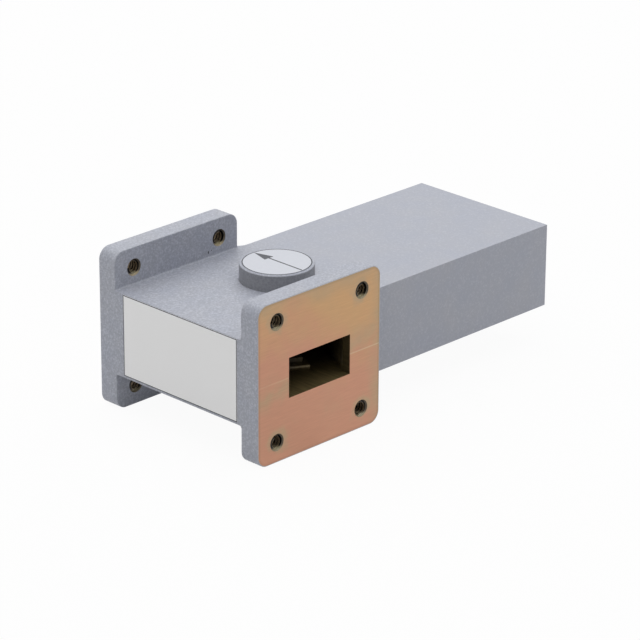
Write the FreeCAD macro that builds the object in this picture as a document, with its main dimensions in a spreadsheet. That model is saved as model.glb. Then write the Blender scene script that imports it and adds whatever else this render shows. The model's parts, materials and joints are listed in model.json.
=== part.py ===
import FreeCAD, Part
import math
import os

import Sketcher
from FreeCAD import Placement, Rotation, Vector

# Waveguide isolator for the R120 band: a ferrite junction in a split aluminium block, with two
# flanged ports and a third arm that ends in an absorber.
# Millimetres. The origin is the centre of the front port on its mating face. Y runs through the
# isolator from the front port to the rear port, X runs out along the load arm and Z is up.

SIZES = {
    # Flanges and ports
    "flange_size": 38.1,
    "flange_thickness": 5.2,
    "flange_corner_radius": 2.8,
    "overall_length": 50.8,
    "guide_width": 19.05,
    "guide_height": 9.525,
    "hole_spacing_across": 26.42,
    "hole_spacing_up": 28.5,
    "thread_diameter": 3.505,
    "countersink_depth": 0.3,
    # Block and load arm
    "block_thickness": 20.3,
    "arm_reach": 81.5,
    "arm_end_wall": 5.0,
    "arm_corner_radius": 3.2,
    "root_radius": 0.5,
    "edge_break": 0.1,
    # Channels and matching ridges
    "port_lip": 2.2,
    "channel_corner_radius": 1.6,
    "long_ridge_reach": 18.6,
    "long_ridge_width": 5.5,
    "long_ridge_height": 1.2,
    "short_ridge_reach": 16.4,
    "short_ridge_width": 3.2,
    "short_ridge_height": 1.0,
    # Junction stack, from the channel outwards
    "pedestal_diameter": 15.0,
    "pedestal_height": 2.2,
    "pedestal_shoulder": 1.0,
    "ferrite_diameter": 9.5,
    "ferrite_thickness": 1.7,
    "pole_disc_thickness": 0.8,
    "magnet_diameter": 14.4,
    "cap_seat_depth": 3.8,
    "cap_diameter": 17.2,
    "cap_height": 4.0,
    "cap_roof": 1.8,
    "cap_wall": 1.1,
    "cap_edge_break": 0.2,
    # Labels
    "arrow_label_diameter": 16.0,
    "side_label_length": 36.5,
    "side_label_height": 19.6,
    "side_label_gap": 1.2,
    "side_label_rise": 0.2,
    "label_thickness": 0.12,
    # Load and pins
    "absorber_length": 42.0,
    "absorber_taper": 28.0,
    "absorber_tip": 0.4,
    "absorber_gap": 0.5,
    "absorber_side_gap": 0.3,
    "pin_diameter": 3.0,
    "pin_length": 8.0,
    "pin_inset": 11.0,
    # Clearances
    "bore_gap": 0.05,
    "pin_gap": 0.02,
    "pin_end_gap": 0.3,
}

# Three equal arms meet at the junction. The port arms lean from the through axis by what is left
# of a third of a turn after a right angle. Half the angle between two arms is where their walls meet.
ARM_COUNT = 3
LEAN = 360 / ARM_COUNT - 90
HALF_SPREAD = 180 / ARM_COUNT

doc = FreeCAD.newDocument("waveguide_isolator")
sheet = doc.addObject("Spreadsheet::Sheet", "sheet")
for row, (alias, value) in enumerate(SIZES.items(), start=1):
    sheet.set(f"A{row}", alias.replace("_", " "))
    sheet.set(f"B{row}", str(value))
    sheet.setAlias(f"B{row}", alias)
doc.recompute()


def cells(formula):
    """The formula with every size in it written as a reference to its cell."""
    words = []
    word = ""
    for letter in formula + " ":
        if letter.isalnum() or letter == "_":
            word += letter
            continue
        words.append("sheet." + word if word in SIZES else word)
        words.append(letter)
        word = ""
    return "".join(words).strip()


def value_of(formula):
    """The number that a formula of sizes gives."""
    return float(sheet.evalExpression(cells(formula)))


def bind(thing, name, formula):
    """Tie a property or a named constraint to a formula of sizes."""
    thing.setExpression(name, cells(formula))


# Places that several pieces share, as formulas of the sizes
FLANGE_EDGE = "(flange_size / 2)"
BLOCK_TOP = "(block_thickness / 2)"
MIDDLE = "(overall_length / 2)"
REAR_FACE = "(overall_length - flange_thickness)"
GUIDE_SIDE = "(guide_width / 2)"
GUIDE_TOP = "(guide_height / 2)"
BEND = f"(port_lip + {GUIDE_SIDE} * tan({LEAN / 2}))"
OUTER_BEND = f"(port_lip + guide_width * tan({LEAN / 2}))"
JUNCTION = f"(({MIDDLE} - {BEND}) * tan({LEAN}))"
CHANNEL_END = "(arm_reach - arm_end_wall)"
SEAT = f"({BLOCK_TOP} - cap_seat_depth)"
STACK_BASE = f"({SEAT} + pedestal_shoulder)"
CAP_TOP = f"({BLOCK_TOP} + cap_height)"
MAGNET_TOP = f"({CAP_TOP} - cap_roof)"
PEDESTAL_FACE = f"({GUIDE_TOP} - pedestal_height)"
FERRITE_FACE = f"({PEDESTAL_FACE} - ferrite_thickness)"
HALF_BLOCK_WIDTH = f"({MIDDLE} - flange_thickness)"

# Pins stand in the solid metal beside the channels, one pair near the ports and one near the load
PIN_ROW = f"({GUIDE_SIDE} + {HALF_BLOCK_WIDTH}) / 2"
PIN_PLACES = [
    (x, f"{MIDDLE} {sign} {PIN_ROW}")
    for x in (f"-({FLANGE_EDGE} + {GUIDE_SIDE}) / 2", "arm_reach - pin_inset")
    for sign in ("-", "+")
]


def body(label):
    made = doc.addObject("PartDesign::Body", label)
    made.Label = label
    return made


def origin_part(owner, role):
    return next(part for part in owner.Origin.OriginFeatures if part.Role == role)


def sketch_on(owner, name, plane="XY_Plane", shift=None):
    """A sketch on one of the body's own planes, moved by formulas in the plane's own axes."""
    sketch = owner.newObject("Sketcher::SketchObject", name)
    sketch.AttachmentSupport = [(origin_part(owner, plane), "")]
    sketch.MapMode = "FlatFace"
    for axis, formula in (shift or {}).items():
        bind(sketch, f"AttachmentOffset.Base.{axis}", formula)
    return sketch


def fix_point(sketch, side, end, corner):
    for kind, formula in zip(("DistanceX", "DistanceY"), corner):
        index = sketch.addConstraint(Sketcher.Constraint(kind, side, end, value_of(formula)))
        name = f"{kind[-1].lower()}_{side}_{end}"
        sketch.renameConstraint(index, name)
        bind(sketch, f"Constraints.{name}", formula)


def draw_loop(sketch, corners, arcs=None):
    """A closed outline through corners given as pairs of formulas.

    arcs maps the number of a side to (centre, radius, turn): that side is an arc, and turn is
    +1 where it runs counter-clockwise and -1 where it runs clockwise.
    """
    arcs = arcs or {}
    points = [Vector(value_of(x), value_of(y), 0) for x, y in corners]
    sides = []
    for number, start in enumerate(points):
        stop = points[(number + 1) % len(points)]
        if number not in arcs:
            sides.append((sketch.addGeometry(Part.LineSegment(start, stop)), 1, 2))
            continue
        centre, radius, turn = arcs[number]
        hub = Vector(value_of(centre[0]), value_of(centre[1]), 0)
        first, last = (start, stop) if turn > 0 else (stop, start)
        from_angle = math.atan2(first.y - hub.y, first.x - hub.x)
        to_angle = math.atan2(last.y - hub.y, last.x - hub.x)
        if to_angle < from_angle:
            to_angle += 2 * math.pi
        circle = Part.Circle(hub, Vector(0, 0, 1), value_of(radius))
        side = sketch.addGeometry(Part.ArcOfCircle(circle, from_angle, to_angle))
        sides.append((side, 1, 2) if turn > 0 else (side, 2, 1))
        index = sketch.addConstraint(Sketcher.Constraint("Radius", side, value_of(radius)))
        sketch.renameConstraint(index, f"radius_{side}")
        bind(sketch, f"Constraints.radius_{side}", radius)
    for number, (side, start_end, stop_end) in enumerate(sides):
        after, after_end, _ = sides[(number + 1) % len(sides)]
        sketch.addConstraint(Sketcher.Constraint("Coincident", side, stop_end, after, after_end))
        fix_point(sketch, side, start_end, corners[number])


def draw_box(sketch, low, high):
    draw_loop(sketch, [low, (high[0], low[1]), high, (low[0], high[1])])


def draw_circle(sketch, centre, diameter):
    hub = Vector(value_of(centre[0]), value_of(centre[1]), 0)
    side = sketch.addGeometry(Part.Circle(hub, Vector(0, 0, 1), value_of(diameter) / 2))
    fix_point(sketch, side, 3, centre)
    index = sketch.addConstraint(Sketcher.Constraint("Diameter", side, value_of(diameter)))
    sketch.renameConstraint(index, f"diameter_{side}")
    bind(sketch, f"Constraints.diameter_{side}", diameter)


def extrude(owner, kind, name, sketch, length=None, backwards=False):
    """A Pad or Pocket of a sketch; a pocket with no length goes right through."""
    before = owner.Tip.Shape.Volume if owner.Tip and not owner.Tip.Shape.isNull() else 0.0
    feature = owner.newObject(f"PartDesign::{kind}", name)
    feature.Profile = sketch
    feature.Reversed = backwards
    if length is None:
        feature.Type = "ThroughAll"
    else:
        bind(feature, "Length", length)
    doc.recompute()
    grown = feature.Shape.Volume - before
    if (grown <= 0) if kind == "Pad" else (grown >= 0):
        raise RuntimeError(f"{owner.Label} {name} changes nothing")
    return feature


def repeat_about_axis(owner, name, feature, sketch, count):
    pattern = owner.newObject("PartDesign::PolarPattern", name)
    pattern.Originals = [feature]
    pattern.Axis = (sketch, ["N_Axis"])
    pattern.Angle = 360
    pattern.Occurrences = count
    owner.Tip = pattern
    doc.recompute()
    return pattern


def edges_where(feature, test):
    """Names of the edges whose middle and direction pass a test."""
    names = []
    for number, edge in enumerate(feature.Shape.Edges, start=1):
        middle = edge.valueAt((edge.FirstParameter + edge.LastParameter) / 2)
        if test(edge, middle):
            names.append(f"Edge{number}")
    return names


def dress(owner, kind, name, base, edges, size_property, formula):
    """A Fillet or Chamfer on named edges of the feature before it."""
    feature = owner.newObject(f"PartDesign::{kind}", name)
    feature.Base = (base, edges)
    bind(feature, size_property, formula)
    owner.Tip = feature
    doc.recompute()
    return feature


def near(first, second):
    return abs(first - second) < 1e-4


def revolve(owner, sketch):
    feature = owner.newObject("PartDesign::Revolution", "turned")
    feature.Profile = sketch
    feature.ReferenceAxis = (sketch, ["V_Axis"])
    feature.Angle = 360
    return feature


def place(piece, turned_over, on_junction=True):
    """Put a piece on the junction's axis, and turn it over about the block's long middle line."""
    if turned_over:
        piece.Placement = Placement(Vector(0, 0, 0), Rotation(Vector(1, 0, 0), 180))
    if on_junction:
        bind(piece, ".Placement.Base.x", JUNCTION)
        bind(piece, ".Placement.Base.y", MIDDLE)
    elif turned_over:
        bind(piece, ".Placement.Base.y", "overall_length")


def body_half(label, turned_over):
    """One half of the split body: half flanges, half block and arm, half channels."""
    half = body(label)

    # Half flange with round outer corners and broken edges, and its twin at the rear port
    square = sketch_on(half, "flange_square", "XZ_Plane")
    inner = f"{FLANGE_EDGE} - flange_corner_radius"
    draw_loop(
        square,
        [
            (f"-{FLANGE_EDGE}", "0"),
            (FLANGE_EDGE, "0"),
            (FLANGE_EDGE, inner),
            (inner, FLANGE_EDGE),
            (f"-({inner})", FLANGE_EDGE),
            (f"-{FLANGE_EDGE}", inner),
        ],
        {
            2: ((inner, inner), "flange_corner_radius", 1),
            4: ((f"-({inner})", inner), "flange_corner_radius", 1),
        },
    )
    flange = extrude(half, "Pad", "front_flange", square, "flange_thickness", backwards=True)
    joint_face = 0
    rims = edges_where(
        flange,
        lambda edge, middle: near(edge.BoundBox.YLength, 0) and not near(middle.z, joint_face),
    )
    dress(half, "Chamfer", "flange_rims", flange, rims, "Size", "edge_break")
    twin = half.newObject("PartDesign::LinearPattern", "rear_flange")
    twin.TransformMode = "Whole shape"
    twin.Direction = (origin_part(half, "Y_Axis"), [""])
    twin.Occurrences = 2
    bind(twin, "Length", REAR_FACE)
    half.Tip = twin
    doc.recompute()

    # Block and load arm in plan, with the cutter's round corner beside each flange. The block runs
    # a little way into the flanges, so it fills their broken rims.
    plan = sketch_on(half, "block_plan")
    front = "flange_thickness"
    inside_front = f"{front} - root_radius"
    inside_rear = f"{REAR_FACE} + root_radius"
    lip = f"{FLANGE_EDGE} + arm_corner_radius"
    draw_loop(
        plan,
        [
            (f"-{FLANGE_EDGE}", inside_front),
            (FLANGE_EDGE, inside_front),
            (FLANGE_EDGE, f"{front} - arm_corner_radius"),
            (lip, front),
            ("arm_reach", front),
            ("arm_reach", REAR_FACE),
            (lip, REAR_FACE),
            (FLANGE_EDGE, f"{REAR_FACE} + arm_corner_radius"),
            (FLANGE_EDGE, inside_rear),
            (f"-{FLANGE_EDGE}", inside_rear),
        ],
        {
            2: ((lip, f"{front} - arm_corner_radius"), "arm_corner_radius", -1),
            6: ((lip, f"{REAR_FACE} + arm_corner_radius"), "arm_corner_radius", -1),
        },
    )
    extrude(half, "Pad", "block", plan, BLOCK_TOP)

    # Round root where the block's top meets each flange
    root = sketch_on(half, "root_profile", "YZ_Plane", {"z": f"-{FLANGE_EDGE}"})
    above = f"{BLOCK_TOP} + root_radius"
    for wall, inward, turn in ((front, "+", -1), (REAR_FACE, "-", 1)):
        foot = f"{wall} {inward} root_radius"
        corners = [(wall, BLOCK_TOP), (foot, BLOCK_TOP), (wall, above)]
        draw_loop(root, corners, {1: ((foot, above), "root_radius", turn)})
    extrude(half, "Pad", "root", root, "flange_size")

    # Edges broken at the end of the load arm
    reach = value_of("arm_reach")
    end_edges = edges_where(
        half.Tip, lambda edge, middle: near(middle.x, reach) and not near(middle.z, joint_face)
    )
    dress(half, "Chamfer", "arm_edges", half.Tip, end_edges, "Size", "edge_break")

    # Half of the three channels: the front and rear ports lean in to the junction, and the load
    # channel runs on along the arm
    channel_plan = sketch_on(half, "channel_plan")
    notch = f"{JUNCTION} + {GUIDE_SIDE} / tan({HALF_SPREAD})"
    draw_loop(
        channel_plan,
        [
            (f"-{GUIDE_SIDE}", "0"),
            (GUIDE_SIDE, "0"),
            (GUIDE_SIDE, "port_lip"),
            (notch, f"{MIDDLE} - {GUIDE_SIDE}"),
            (CHANNEL_END, f"{MIDDLE} - {GUIDE_SIDE}"),
            (CHANNEL_END, f"{MIDDLE} + {GUIDE_SIDE}"),
            (notch, f"{MIDDLE} + {GUIDE_SIDE}"),
            (GUIDE_SIDE, "overall_length - port_lip"),
            (GUIDE_SIDE, "overall_length"),
            (f"-{GUIDE_SIDE}", "overall_length"),
            (f"-{GUIDE_SIDE}", f"overall_length - {OUTER_BEND}"),
            (f"{JUNCTION} - {GUIDE_SIDE} / sin({HALF_SPREAD})", MIDDLE),
            (f"-{GUIDE_SIDE}", OUTER_BEND),
        ],
    )
    extrude(half, "Pocket", "channels", channel_plan, GUIDE_TOP, backwards=True)
    end = value_of(CHANNEL_END)
    corners = edges_where(
        half.Tip, lambda edge, middle: near(middle.x, end) and edge.BoundBox.ZLength > 1
    )
    dress(half, "Fillet", "channel_corners", half.Tip, corners, "Radius", "channel_corner_radius")

    # Two matching ridges on the broad wall of each arm, stepped up towards the junction
    for name, level in (("long_ridge", GUIDE_TOP), ("short_ridge", f"{GUIDE_TOP} - long_ridge_height")):
        ridge = sketch_on(half, f"{name}_plan", "XY_Plane", {"x": JUNCTION, "y": MIDDLE, "z": level})
        draw_box(
            ridge,
            ("pedestal_diameter / 2 - pedestal_shoulder", f"-{name}_width / 2"),
            (f"{name}_reach", f"{name}_width / 2"),
        )
        step = extrude(half, "Pad", name, ridge, f"{name}_height", backwards=True)
        repeat_about_axis(half, f"{name}s", step, ridge, ARM_COUNT)

    # Bore for the pedestal, and the wider seat for the magnet cap
    bore = sketch_on(half, "bore_circle", "XY_Plane", {"x": JUNCTION, "y": MIDDLE})
    draw_circle(bore, ("0", "0"), "pedestal_diameter + 2 * bore_gap")
    extrude(half, "Pocket", "bore", bore, backwards=True)
    seat = sketch_on(half, "seat_circle", "XY_Plane", {"x": JUNCTION, "y": MIDDLE, "z": BLOCK_TOP})
    draw_circle(seat, ("0", "0"), "cap_diameter + 2 * bore_gap")
    extrude(half, "Pocket", "cap_seat", seat, "cap_seat_depth")

    # Tapped holes through both flanges, bored at the thread's full diameter
    screw_plan = sketch_on(half, "screw_circles", "XZ_Plane")
    for sign in ("-", ""):
        draw_circle(screw_plan, (f"{sign}hole_spacing_across / 2", "hole_spacing_up / 2"), "thread_diameter")
    extrude(half, "Pocket", "screw_holes", screw_plan)
    hole_height = value_of("hole_spacing_up / 2")
    hole_radius = value_of("thread_diameter / 2")

    def hole_rim(edge, middle):
        round_edge = near(edge.BoundBox.XLength, 2 * hole_radius)
        return round_edge and near(edge.BoundBox.Center.z, hole_height)

    rims = edges_where(half.Tip, hole_rim)
    dress(half, "Chamfer", "countersinks", half.Tip, rims, "Size", "countersink_depth")

    # Blind holes for the locating pins, in the face where the halves meet
    pins = sketch_on(half, "pin_circles")
    for x, y in PIN_PLACES:
        draw_circle(pins, (x, y), "pin_diameter + 2 * pin_gap")
    extrude(half, "Pocket", "pin_holes", pins, "pin_length / 2 + pin_end_gap", backwards=True)

    place(half, turned_over, on_junction=False)
    return half


def turned_piece(label, turned_over, corners, arcs=None):
    """A round piece of the junction stack, from its half profile of (radius, height) corners."""
    piece = body(label)
    profile = sketch_on(piece, "profile", "XZ_Plane")
    draw_loop(profile, corners, arcs)
    revolve(piece, profile)
    place(piece, turned_over)
    return piece


def disc(label, turned_over, radius, low, high):
    return turned_piece(label, turned_over, [("0", low), (radius, low), (radius, high), ("0", high)])


def pedestal(label, turned_over):
    """Plug that closes the junction's bore: its end is the platform under the ferrite."""
    return turned_piece(
        label,
        turned_over,
        [
            ("0", PEDESTAL_FACE),
            ("pedestal_diameter / 2", PEDESTAL_FACE),
            ("pedestal_diameter / 2", SEAT),
            ("cap_diameter / 2", SEAT),
            ("cap_diameter / 2", STACK_BASE),
            ("0", STACK_BASE),
        ],
    )


def magnet_cap(label, turned_over):
    """Steel cup over the magnet, with a broken top edge. Its rim stands on the pedestal."""
    rim = "cap_diameter / 2"
    inside = "cap_diameter / 2 - cap_wall"
    flat = "cap_diameter / 2 - cap_edge_break"
    shoulder = f"{CAP_TOP} - cap_edge_break"
    return turned_piece(
        label,
        turned_over,
        [
            (inside, STACK_BASE),
            (rim, STACK_BASE),
            (rim, shoulder),
            (flat, CAP_TOP),
            ("0", CAP_TOP),
            ("0", MAGNET_TOP),
            (inside, MAGNET_TOP),
        ],
    )


def absorber(label, turned_over):
    """Lossy wedge bonded to the broad wall of the load arm, thin end towards the junction."""
    piece = body(label)
    width = "(guide_width - 2 * absorber_side_gap)"
    side = sketch_on(piece, "side", "XZ_Plane", {"z": f"-({MIDDLE} - {width} / 2)"})
    back = f"({CHANNEL_END} - channel_corner_radius)"
    face = "absorber_gap / 2"
    draw_loop(
        side,
        [
            (f"{back} - absorber_length", f"{GUIDE_TOP} - absorber_tip"),
            (f"{back} - absorber_length + absorber_taper", face),
            (back, face),
            (back, GUIDE_TOP),
            (f"{back} - absorber_length", GUIDE_TOP),
        ],
    )
    extrude(piece, "Pad", "wedge", side, width, backwards=True)
    place(piece, turned_over, on_junction=False)
    return piece


def locating_pins(label):
    """Four plain dowels, half in each half of the body."""
    pins = []
    for number, (x, y) in enumerate(PIN_PLACES, start=1):
        pin = doc.addObject("Part::Cylinder", f"pin_{number}")
        bind(pin, "Radius", "pin_diameter / 2")
        bind(pin, "Height", "pin_length")
        bind(pin, ".Placement.Base.x", x)
        bind(pin, ".Placement.Base.y", y)
        bind(pin, ".Placement.Base.z", "-pin_length / 2")
        pins.append(pin)
    group = doc.addObject("Part::Compound", label)
    group.Label = label
    group.Links = pins
    return group


def side_label(label):
    """Thin sticker on the flush side, across the joint between the halves."""
    sticker = doc.addObject("Part::Box", label)
    sticker.Label = label
    bind(sticker, "Length", "label_thickness")
    bind(sticker, "Width", "side_label_length")
    bind(sticker, "Height", "side_label_height")
    bind(sticker, ".Placement.Base.x", f"-{FLANGE_EDGE} - label_thickness")
    bind(sticker, ".Placement.Base.y", "flange_thickness + side_label_gap")
    bind(sticker, ".Placement.Base.z", "side_label_rise - side_label_height / 2")
    return sticker


def arrow_label(label):
    """Round sticker on the upper cap."""
    sticker = doc.addObject("Part::Cylinder", label)
    sticker.Label = label
    bind(sticker, "Radius", "arrow_label_diameter / 2")
    bind(sticker, "Height", "label_thickness")
    place(sticker, turned_over=False)
    bind(sticker, ".Placement.Base.z", CAP_TOP)
    return sticker


pieces = []
for side, turned_over in (("upper", False), ("lower", True)):
    pieces.append(body_half(f"body_{side}_half", turned_over))
    pieces.append(pedestal(f"pedestal_{side}", turned_over))
    pieces.append(disc(f"ferrite_{side}", turned_over, "ferrite_diameter / 2", FERRITE_FACE, PEDESTAL_FACE))
    pole_top = f"{STACK_BASE} + pole_disc_thickness"
    pieces.append(disc(f"pole_disc_{side}", turned_over, "magnet_diameter / 2", STACK_BASE, pole_top))
    pieces.append(disc(f"magnet_{side}", turned_over, "magnet_diameter / 2", pole_top, MAGNET_TOP))
    pieces.append(magnet_cap(f"magnet_cap_{side}", turned_over))
    pieces.append(absorber(f"absorber_{side}", turned_over))
pieces.append(disc("ferrite_spacer", False, "ferrite_diameter / 2", f"-{FERRITE_FACE}", FERRITE_FACE))
pieces.append(locating_pins("locating_pins"))
pieces.append(side_label("side_label"))
pieces.append(arrow_label("arrow_label"))
doc.recompute()

for thing in doc.Objects:
    if "Invalid" in thing.State or "Error" in thing.State:
        raise RuntimeError(f"{thing.Label} did not recompute: {thing.State}")
for piece in pieces:
    if piece.Shape.isNull() or not piece.Shape.isValid():
        raise RuntimeError(f"{piece.Label} has no valid shape")

os.makedirs("parts", exist_ok=True)
for piece in pieces:
    piece.Shape.exportStep(f"parts/{piece.Label}.step")
    box = piece.Shape.BoundBox
    print(f"{piece.Label}: {len(piece.Shape.Solids)} solid, {piece.Shape.Volume:.1f} mm3, "
          f"x {box.XMin:.2f} to {box.XMax:.2f}, y {box.YMin:.2f} to {box.YMax:.2f}, "
          f"z {box.ZMin:.2f} to {box.ZMax:.2f}")
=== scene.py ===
import json
import math

import bmesh
import bpy
from mathutils import Matrix, Vector


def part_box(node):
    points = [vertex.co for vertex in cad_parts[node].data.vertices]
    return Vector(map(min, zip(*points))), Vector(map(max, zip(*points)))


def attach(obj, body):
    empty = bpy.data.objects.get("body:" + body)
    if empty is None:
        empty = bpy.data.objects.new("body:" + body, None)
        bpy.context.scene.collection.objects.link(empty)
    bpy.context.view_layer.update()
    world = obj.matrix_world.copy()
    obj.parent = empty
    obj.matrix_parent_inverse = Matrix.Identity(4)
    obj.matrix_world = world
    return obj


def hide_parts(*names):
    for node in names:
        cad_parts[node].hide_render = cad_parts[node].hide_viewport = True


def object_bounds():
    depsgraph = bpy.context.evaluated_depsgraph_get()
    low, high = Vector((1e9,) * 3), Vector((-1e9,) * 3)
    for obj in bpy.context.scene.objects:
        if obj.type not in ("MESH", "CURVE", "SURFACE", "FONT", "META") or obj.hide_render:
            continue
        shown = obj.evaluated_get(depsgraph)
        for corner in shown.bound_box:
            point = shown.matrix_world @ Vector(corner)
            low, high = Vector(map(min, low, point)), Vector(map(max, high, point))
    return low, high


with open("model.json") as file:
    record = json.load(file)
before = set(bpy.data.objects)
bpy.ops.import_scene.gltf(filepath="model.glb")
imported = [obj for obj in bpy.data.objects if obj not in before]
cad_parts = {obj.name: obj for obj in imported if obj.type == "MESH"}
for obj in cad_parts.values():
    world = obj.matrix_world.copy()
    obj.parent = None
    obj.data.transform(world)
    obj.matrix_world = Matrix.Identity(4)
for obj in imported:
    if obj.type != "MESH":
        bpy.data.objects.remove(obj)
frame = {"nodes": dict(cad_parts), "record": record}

bl_info = {
    "name": "Waveguide isolator",
    "version": (1, 0, 0),
    "blender": (4, 5, 0),
    "location": "3D View > Sidebar > Isolator",
    "description": "Finish, screw threads and labels of a rectangular waveguide isolator",
    "category": "Add Mesh",
}

MM = 0.001
CAD_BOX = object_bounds()

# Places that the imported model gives. The front port's face is y = 0 and the halves meet at z = 0.
BODY_LOW, BODY_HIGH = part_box("body_upper_half")
FLANGE_EDGE = -BODY_LOW.x
REAR_PORT = BODY_HIGH.y
CAP_LOW, CAP_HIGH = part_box("magnet_cap_upper")
JUNCTION = Vector(((CAP_LOW.x + CAP_HIGH.x) / 2, (CAP_LOW.y + CAP_HIGH.y) / 2))
CAP_RADIUS = (CAP_HIGH.x - CAP_LOW.x) / 2
ARROW_LABEL_LOW, ARROW_LABEL_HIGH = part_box("arrow_label")
SIDE_LABEL_LOW, SIDE_LABEL_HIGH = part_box("side_label")
CHANNEL_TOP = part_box("absorber_upper")[1].z

# The opening's box ends just inside the port's side wall
OPENINGS = {opening["name"]: opening["box_m"] for opening in frame["record"]["physics"]["openings"]}
PORT_EDGE = OPENINGS["front_port"][1][0]
MOUNTS = {mount["name"]: mount["dims"] for mount in frame["record"]["mounts"]}
BOLTS = MOUNTS["front_flange_bolts"]
BOLT_RADIUS = BOLTS["hole_r_mm"] * MM
BOLTS_ACROSS = BOLTS["spacing_x_mm"] * MM
BOLTS_UP = BOLTS["spacing_y_mm"] * MM


def from_hex(text):
    """Linear red, green and blue of an sRGB hex value."""
    values = []
    for start in (0, 2, 4):
        value = int(text[start:start + 2], 16) / 255
        values.append(value / 12.92 if value <= 0.04045 else ((value + 0.055) / 1.055) ** 2.4)
    return tuple(values)


def opaque(rgb):
    """A colour with its alpha, as a node's colour socket takes it."""
    return (*rgb, 1.0)


def shade(text):
    """The colour of an sRGB hex value, for a node's colour socket."""
    return opaque(from_hex(text))


def length(name, description, default_mm):
    """A size that the user may change."""
    return bpy.props.FloatProperty(
        name=name, description=description, default=default_mm * MM, min=0.0, unit="LENGTH", precision=5
    )


def angle(name, description, default_degrees):
    """An angle that the user may change."""
    return bpy.props.FloatProperty(
        name=name, description=description, default=math.radians(default_degrees), subtype="ANGLE"
    )


def number(name, description, default):
    """A plain number that the user may change."""
    return bpy.props.FloatProperty(name=name, description=description, default=default)


def point(name, description, default):
    """A place in metres that the user may change."""
    return bpy.props.FloatVectorProperty(
        name=name, description=description, default=default, subtype="TRANSLATION"
    )


def colour(name, description, text):
    """A colour that the user may change."""
    return bpy.props.FloatVectorProperty(
        name=name, description=description, default=from_hex(text), min=0.0, max=1.0, subtype="COLOR"
    )


class IsolatorSizes(bpy.types.PropertyGroup):
    edge_round: length("Edge round", "Radius of the paint over the outer edges", 0.05)
    cap_round: length("Cap round", "Radius of the paint over the cap's edge", 0.08)
    thread_pitch: length("Thread pitch", "Distance between the turns of the screw threads", 0.794)
    thread_depth: length("Thread depth", "Height of the thread's ridge above its root", 0.44)
    thread_start: length("Thread start", "Depth at which the thread begins", 0.03)
    flange_thickness: length("Flange thickness", "Thickness of each flange", 5.2)
    flange_corner: length("Flange corner", "Radius of each flange's corners", 2.8)
    paint_lap: length("Paint lap", "How far the paint laps onto the ports' faces", 0.24)
    ink_thickness: length("Ink thickness", "Thickness of the print on the labels", 0.01)
    ring_width: length("Ring width", "Width of the ring printed round the arrow label", 0.27)
    arrow_length: length("Arrow length", "Tip to tail of the direction arrow", 15.3)
    arrow_shift: length("Arrow shift", "How far the arrow sits off the label's middle, along X", 0.35)
    arrow_lead: length("Arrow lead", "How far the arrow sits off the label's middle, along Y", 0.1)
    arrow_width: length("Arrow width", "Width of the arrow's head", 2.76)
    head_length: length("Head length", "Length of the arrow's head", 4.85)
    shaft_width: length("Shaft width", "Width of the arrow's shaft", 0.42)
    border_width: length("Border width", "Width of the line printed round the side label", 0.2)


class IsolatorColours(bpy.types.PropertyGroup):
    enamel: colour("Enamel", "Sprayed enamel on the outside", "ADB0BB")
    salmon: colour("Salmon chromate", "Chromate film where it is thickest", "CB957A")
    gold: colour("Gold chromate", "Chromate film where it is thinner", "CDA376")
    olive: colour("Olive chromate", "Chromate film where it is thinnest", "B99F7E")
    top_film: colour("Round label", "Film of the round label", "CACDD6")
    side_film: colour("Side label", "Film of the side label", "FDFDFD")
    ink: colour("Label ink", "Dark print on the labels", "3A3D44")


class IsolatorStage(bpy.types.PropertyGroup):
    azimuth: angle("Azimuth", "Camera's turn about the vertical", -45.487)
    elevation: angle("Elevation", "Camera's height as an angle", 22.292)
    roll: angle("Roll", "Camera's turn about its own axis", 0.305)
    distance: length("Distance", "Camera to the point that it looks at", 778.68)
    aim: point("Aim", "Point that the camera looks at", (0.018812, 0.018471, 0.000105))
    lens: number("Lens", "Focal length in millimetres", 193.0)
    lamp_power: number("Lamp power", "Power of the soft overhead lamp in watts", 16.2)
    lamp_width: length("Lamp width", "Side of the square overhead lamp", 2200.0)
    lamp_place: point("Lamp place", "Where the overhead lamp hangs", (0.14, 0.2, 1.0))
    sky_level: number("Sky level", "Strength of the even light from all sides", 0.3)
    floor_half: length("Floor half", "Half the width of the square floor", 1500.0)


def settings():
    """The sizes, the colours and the stage that the user may change."""
    scene = bpy.context.scene
    return scene.isolator_sizes, scene.isolator_colours, scene.isolator_stage


def feed(tree, node, inputs):
    """Give a node's inputs their values, or the sockets that feed them."""
    for name, value in inputs.items():
        if isinstance(value, bpy.types.NodeSocket):
            tree.links.new(value, node.inputs[name])
        else:
            node.inputs[name].default_value = value


def add(tree, kind, inputs=None, **properties):
    """Add a node: properties are its settings, and inputs are values or the sockets that feed it."""
    node = tree.nodes.new(kind)
    for name, value in properties.items():
        setattr(node, name, value)
    feed(tree, node, inputs or {})
    return node


def new_material(name):
    """A material with a Principled surface and Object coordinates: (material, tree, surface, place)."""
    material = bpy.data.materials.new(name)
    material.use_nodes = True
    tree = material.node_tree
    surface = tree.nodes["Principled BSDF"]
    place = add(tree, "ShaderNodeTexCoord").outputs["Object"]
    return material, tree, surface, place


def material_named(name, maker, *details):
    """The material of that name, made once."""
    return bpy.data.materials.get(name) or maker(name, *details)


# Sockets of the colour form of the Mix node
MIX_A, MIX_B, MIX_RESULT = 6, 7, 2


def blend(tree, share, first, second, kind="MIX"):
    """Mix two colours by a share: each of the three is a value or a socket."""
    inputs = {0: share, MIX_A: first, MIX_B: second}
    return add(tree, "ShaderNodeMix", inputs, data_type="RGBA", blend_type=kind).outputs[MIX_RESULT]


def grains_per_metre(size_mm):
    """Scale of a noise whose grains are this wide."""
    return 1.0 / (size_mm * MM)


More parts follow.
